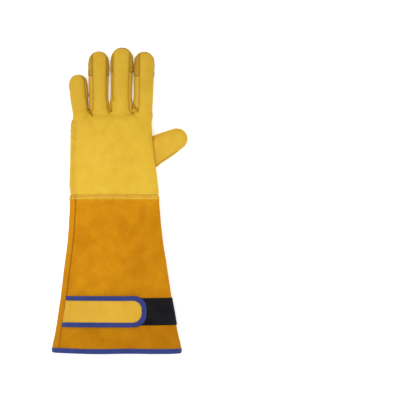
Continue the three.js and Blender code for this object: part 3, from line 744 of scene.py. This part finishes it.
def woven_finish(name, pale, deep, thread_mm, roughness):
    """Narrow woven tape: ribs both ways, with a painted highlight on the threads' crowns"""
    material, tree = blank_material(name)
    where = add_node(tree, "ShaderNodeTexCoord").outputs["Object"]
    ribs = [
        add_node(tree, "ShaderNodeTexWave", {
            "Vector": where, "Scale": 100 * math.pi / thread_mm, "Distortion": 0.4},
            bands_direction=axis).outputs["Fac"]
        for axis in ("X", "Y")
    ]
    weave = add_node(tree, "ShaderNodeMath", {0: ribs[0], 1: ribs[1]}, operation="MULTIPLY")
    tone = add_node(tree, "ShaderNodeTexNoise", {
        "Vector": where, "Scale": 1000 / 15, "Detail": 4})
    both = add_node(tree, "ShaderNodeMath", {0: weave.outputs[0], 1: tone.outputs["Fac"]},
                    operation="ADD")
    share = add_node(tree, "ShaderNodeMapRange", {
        "Value": both.outputs[0], "From Min": 0.3, "From Max": 1.5})
    colour = mixed(tree, share.outputs[0], linear(deep), linear(pale))
    border = add_node(tree, "ShaderNodeAttribute", attribute_name="border")
    colour = mixed(tree, border.outputs["Fac"], colour, linear(deep))
    bump = add_node(tree, "ShaderNodeBump", {
        "Height": weave.outputs[0], "Distance": 0.08 * mm, "Strength": 0.5})
    shader = add_node(tree, "ShaderNodeBsdfPrincipled", {
        "Base Color": colour, "Roughness": roughness, "Normal": bump.outputs[0],
        "Sheen Weight": 0.2, "Sheen Roughness": 0.4, "Specular IOR Level": 0.2})
    add_node(tree, "ShaderNodeOutputMaterial", {"Surface": shader.outputs[0]})
    return material


tab_leather = leather_finish(
    "tab_leather", "d3a52d", "c69722", "946410", patch_mm=30, fleck_mm=12, grain_mm=1.5,
    grain_height_mm=0.10, smooth=True, roughness=0.58, sheen=0.05)
loop_pile = leather_finish(
    "loop_pile", "1d1d21", "101013", "08080a", patch_mm=20, fleck_mm=3, grain_mm=1.2,
    grain_height_mm=0.5, smooth=False, roughness=0.9, sheen=0.15)
blue_tape = woven_finish("blue_tape", "364690", "232d60", thread_mm=1.1, roughness=0.8)

form = panel("cuff_back")
for y, side in ((band_low.y, -1), (band_high.y, 1)):
    bmesh.ops.bisect_plane(
        form, geom=form.verts[:] + form.edges[:] + form.faces[:], dist=0.01 * mm,
        plane_co=(0, y, 0), plane_no=(0, side, 0), clear_outer=True)
bmesh.ops.bisect_plane(
    form, geom=form.verts[:] + form.edges[:] + form.faces[:], dist=0.01 * mm,
    plane_co=(seam_x(tab_middle) + 14 * mm, 0, 0), plane_no=(-1, 0, 0), clear_outer=True)
number(form)
mark_border(form, 1.2 * mm, 0.3)
raise_sheet(form, pad_gap + band_wall, edge_drop=0.3 * mm, edge_reach=mm)
finish_piece(walled(form, band_wall), "loop_band_pile", loop_pile, "loop_fabric", "loop_band")

tab_insets = [*np.linspace(tape_inset, 20, 15), tab_half / mm]
form = laid([
    (inset, 1.8 + 0.5 * (1 - math.exp((tape_inset - inset) / 5))) for inset in tab_insets])
mark_border(form, 2.2 * mm, 0.45)
finish_piece(walled(form, tab_wall), "strap_tab_leather", tab_leather, "grain_leather",
             "strap_tab")

# The tape goes round the tab's edge from below and lies on its face: inset and height in mm
tape_profile = [(0.5, 0.1), (0.1, 0.7), (0.0, 1.5), (0.25, 2.2), (0.9, 2.65), (2.0, 2.8),
                (3.3, 2.85), (4.6, 2.8), (5.7, 2.7), (6.3, 2.4), (6.5, 2.1)]
form = laid(tape_profile)
mark_border(form, 0.8 * mm, 0.8)
tops["strap_binding"] = BVHTree.FromBMesh(form)
finish_piece(walled(form, tape_wall), "strap_binding_tape", blue_tape, "binding_tape",
             "strap_binding")

# Hem binding. The same blue tape, folded over the edge of the cuff's mouth and sewn through.
# It lies in slow waves, as a tape does that is sewn to soft leather.
hem_wall = 0.7 * mm
hem_wave = 1.2 * mm
hem_stations = 320
hem_middle = Vector((0, hem_y, (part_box("hem_binding")[0].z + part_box("hem_binding")[1].z) / 2))


def cuff_side(angle, y):
    """Where a ray from inside the cuff's mouth meets the skin"""
    start = Vector((hem_middle.x, max(y, hem_y + 0.6 * mm), hem_middle.z))
    return skin_tree.ray_cast(start, Vector((math.cos(angle), 0, math.sin(angle))))[0]


turns = np.linspace(0, 2 * math.pi, 1441)
mouth = np.array([cuff_side(a, hem_y) for a in turns])
travelled = np.concatenate([[0], np.cumsum(np.linalg.norm(np.diff(mouth, axis=0), axis=1))])
hem_turns = np.interp(np.linspace(0, travelled[-1], hem_stations + 1), travelled, turns)
# The tape's outer face, from its outer edge over the fold to its inner edge: along and out, mm
hem_profile = [(6.5, 0.4), (6.4, 0.8), (6.0, 1.0), (4.5, 1.1), (2.5, 1.15), (0.9, 1.1), (0.0, 0.8),
               (-0.5, 0.1), (-0.7, -0.85), (-0.5, -1.8), (0.0, -2.5), (0.9, -2.75), (2.5, -2.8),
               (4.5, -2.75), (6.0, -2.65), (6.4, -2.45), (6.5, -2.15)]
form = bmesh.new()
bmesh.ops.create_grid(form, x_segments=hem_stations, y_segments=len(hem_profile) - 1, size=1)
sections = []
for k in range(hem_stations + 1):
    angle = hem_turns[k % hem_stations]
    path = [cuff_side(angle, hem_y + along * mm) for along, _ in hem_profile]
    near = [cuff_side(hem_turns[(k + step) % hem_stations], hem_y) for step in (-2, 2)]
    forward = (near[1] - near[0]).normalized()
    outward = Vector((forward.z, 0, -forward.x))
    wave = hem_wave * noise.noise(Vector((near[0].x * 18, 0, near[0].z * 8)))
    sections.append([
        Vector((spot.x, hem_y + along * mm + wave, spot.z)) + outward * out * mm
        for spot, (along, out) in zip(path, hem_profile)])
for v in form.verts:
    row = round((v.co.y + 1) / 2 * (len(hem_profile) - 1))
    v.co = sections[round((v.co.x + 1) / 2 * hem_stations)][row]
    v.co.z = max(v.co.z, trim_rest)
bmesh.ops.remove_doubles(form, verts=form.verts, dist=0.02 * mm)
bmesh.ops.recalc_face_normals(form, faces=form.faces[:])
number(form)
mark_border(form, 0.8 * mm, 0.8)
form.normal_update()
tops["hem_binding"] = BVHTree.FromBMesh(form)
finish_piece(walled(form, hem_wall), "hem_binding_tape", blue_tape, "binding_tape", "hem_binding")


# Sewing. Lockstitch in thick pale thread across the leather, and in blue along the tapes. Each
# stitch is a short rounded bar, half sunk. The thread is drawn about half as thick again as it
# is, so that it shows.
def thread_finish(name, pale, deep):
    """Twisted thread: painted shade between its plies"""
    material, tree = blank_material(name)
    where = add_node(tree, "ShaderNodeTexCoord").outputs["Object"]
    plies = add_node(tree, "ShaderNodeTexNoise", {
        "Vector": where, "Scale": 1000 / 0.8, "Detail": 2})
    colour = mixed(tree, plies.outputs["Fac"], linear(deep), linear(pale))
    bump = add_node(tree, "ShaderNodeBump", {
        "Height": plies.outputs["Fac"], "Distance": 0.1 * mm, "Strength": 0.6})
    shader = add_node(tree, "ShaderNodeBsdfPrincipled", {
        "Base Color": colour, "Roughness": 0.6, "Normal": bump.outputs[0], "Sheen Weight": 0.2})
    add_node(tree, "ShaderNodeOutputMaterial", {"Surface": shader.outputs[0]})
    return material


pale_thread = thread_finish("pale_thread", "f6dc96", "e6c268")
straw_thread = thread_finish("straw_thread", "e2c878", "cfae56")
gold_thread = thread_finish("gold_thread", "dcb450", "c0962f")
blue_thread = thread_finish("blue_thread", "4a5eae", "2c3a7c")


def even_steps(path, pitch):
    """Points along a run, spaced by the pitch"""
    lengths = np.linalg.norm(np.diff(path, axis=0), axis=1)
    along = np.concatenate([[0], np.cumsum(lengths)])
    at = np.linspace(0, along[-1], max(int(along[-1] / pitch), 2) + 1)
    return np.stack([np.interp(at, along, path[:, k]) for k in range(3)], axis=1)


def softened(path):
    """A run without the skin's small steps"""
    path = path.copy()
    for _ in range(6):
        path[1:-1] += 0.5 * ((path[:-2] + path[2:]) / 2 - path[1:-1])
    return path


# A stretch of border with no more points than this carries no stitches
fewest_points = 8


def unbroken(path, kept):
    """The stretches of a run that are kept, without the very short ones"""
    runs, run = [], []
    for spot, keep in zip([*path, None], [*kept, False]):
        if keep:
            run.append(spot)
            continue
        if len(run) > fewest_points:
            runs.append(np.array(run))
        run = []
    return runs


def inset_runs(path, tree, inset):
    """Moves a border inwards over its surface, and drops what comes too near another side"""
    path = even_steps(softened(path), 0.8 * mm)
    moved, good = [], []
    for before, here, after in zip(path[:-2], path[1:-1], path[2:]):
        normal = tree.find_nearest(Vector(here))[1]
        across = normal.cross(Vector(after - before)).normalized() * inset
        tries = [tree.find_nearest(Vector(here) + across * sign) for sign in (1, -1)]
        best = min(tries, key=lambda found: found[3])
        moved.append(best[0])
        good.append(best[3] < 0.5 * inset)
    clear = distance_to(moved, path) > 0.9 * inset
    return unbroken(moved, clear & good)


def sew(name, rows, thread, length=2.4 * mm, breadth=0.9 * mm, pitch=3.4 * mm):
    """The stitches of one thread: each row is a run of points and the surface that it lies on"""
    form = bmesh.new()
    for row, tree in rows:
        row = even_steps(row, pitch)
        for before, after in zip(row[:-1], row[1:]):
            spot, normal, _, _ = tree.find_nearest(Vector(before + after) / 2)
            along = Vector(after - before).normalized()
            side = normal.cross(along).normalized()
            turn = Matrix((side, along.cross(side), along)).transposed().to_4x4()
            size = Matrix.Diagonal((breadth / 2, 0.4 * breadth, length / 2, 1))
            bmesh.ops.create_uvsphere(
                form, u_segments=6, v_segments=4, radius=1,
                matrix=Matrix.Translation(spot + normal * 0.1 * mm) @ turn @ size)
    finish_piece(form, name, thread, None)


# Two rows run round the wrist below the seam, and stop at the heel patch
wrist_run = runs_of(seam_sets["wrist"])[0]
wrist_rows = []
for drop in (2.2, 4.9):
    run = softened(wrist_run) - np.array([0, drop * mm, 0])
    run = even_steps(run, mm)
    free = [tops["heel_patch"].find_nearest(Vector(p))[3] > 3 * mm for p in run]
    wrist_rows += [(stretch, skin_tree) for stretch in unbroken(run, free)]
sew("wrist_stitches", wrist_rows, pale_thread, breadth=1.1 * mm)

cap_rows = []
for name in cap_names:
    label = leather.index(name)
    edge = [e for e in seam_sets["cap"] if label in {f[owner] for f in e.link_faces}]
    run = softened(runs_of(edge)[0])
    cap_rows += [(run + np.array([0, up * mm, 0]), tops[name]) for up in (1.6, 3.6)]
sew("cap_stitches", cap_rows, gold_thread, length=1.9 * mm, breadth=0.7 * mm, pitch=2.6 * mm)

patch_rows = [(run, tops["palm_patch"]) for inset in (2.0, 4.5)
              for run in inset_runs(borders["palm_patch"], tops["palm_patch"], inset * mm)]
sew("palm_patch_stitches", patch_rows, straw_thread, breadth=0.8 * mm)

for name, thread in (("heel_patch", gold_thread), ("thumb_welt", straw_thread)):
    rows = [(run, tops[name]) for run in inset_runs(borders[name], tops[name], 1.9 * mm)]
    sew(f"{name}_stitches", rows, thread, breadth=0.7 * mm, pitch=3.0 * mm)

tab_row = np.array([on_cuff(x, y, 0) for x, y in tab_path(5.2 * mm)])
# Along the hem one row shows outside and one inside, both near the tape's edges
hem_rows = [np.array([section[k] for section in sections]) for k in (2, -4)]
sew("tape_stitches", [(tab_row, tops["strap_binding"])]
    + [(row, tops["hem_binding"]) for row in hem_rows],
    blue_thread, length=2.2 * mm, breadth=0.6 * mm, pitch=3.2 * mm)

# Floor, light and camera. A pale floor, lit a little from within like a photographer's light
# table, under soft light from all sides and two large lamps. The camera looks straight down
# and keeps the glove where the photograph has it, in the left half of its frame.
photo_mm_a_pixel = 1.4034
photo_pixels = 400
glove_offset_pixels = 80.24
glove_left_of_middle = glove_offset_pixels * photo_mm_a_pixel * mm
camera_lens = 200
camera_sensor = 36
frame_width = photo_pixels * photo_mm_a_pixel * mm
glove_middle_height = 20 * mm
camera_height = frame_width * camera_lens / camera_sensor + glove_middle_height

floor_form = bmesh.new()
bmesh.ops.create_grid(floor_form, x_segments=1, y_segments=1, size=4)
floor_mesh = bpy.data.meshes.new("floor")
floor_form.to_mesh(floor_mesh)
floor = bpy.data.objects.new("floor", floor_mesh)
bpy.context.scene.collection.objects.link(floor)
floor_material, tree = blank_material("pale_floor")
shader = add_node(tree, "ShaderNodeBsdfPrincipled", {
    "Base Color": linear("f4f4f2"), "Roughness": 0.9, "Specular IOR Level": 0.1,
    "Emission Color": linear("ffffff"), "Emission Strength": 0.42})
add_node(tree, "ShaderNodeOutputMaterial", {"Surface": shader.outputs[0]})
floor_mesh.materials.append(floor_material)

world = bpy.data.worlds.new("studio")
bpy.context.scene.world = world
world.use_nodes = True
world.node_tree.nodes["Background"].inputs["Color"].default_value = (1, 1, 1, 1)
world.node_tree.nodes["Background"].inputs["Strength"].default_value = 0.72

# Both lamps face the middle of the glove
for name, place_at, size, power in (
    ("key_lamp", (-0.45, 0.1, 1.35), 0.9, 9),
    ("fill_lamp", (0.9, -0.5, 1.1), 1.2, 4),
):
    light = bpy.data.lights.new(name, "AREA")
    light.shape = "DISK"
    light.size = size
    light.energy = power
    lamp = bpy.data.objects.new(name, light)
    lamp.location = place_at
    direction = -Vector(place_at)
    lamp.rotation_euler = direction.to_track_quat("-Z", "Y").to_euler()
    bpy.context.scene.collection.objects.link(lamp)

camera_data = bpy.data.cameras.new("camera")
camera_data.lens = camera_lens
camera_data.sensor_width = camera_sensor
camera_data.clip_end = 50
camera = bpy.data.objects.new("camera", camera_data)
camera.location = (glove_left_of_middle, 0, camera_height)
bpy.context.scene.collection.objects.link(camera)
bpy.context.scene.camera = camera
bpy.context.scene.view_settings.view_transform = "Standard"
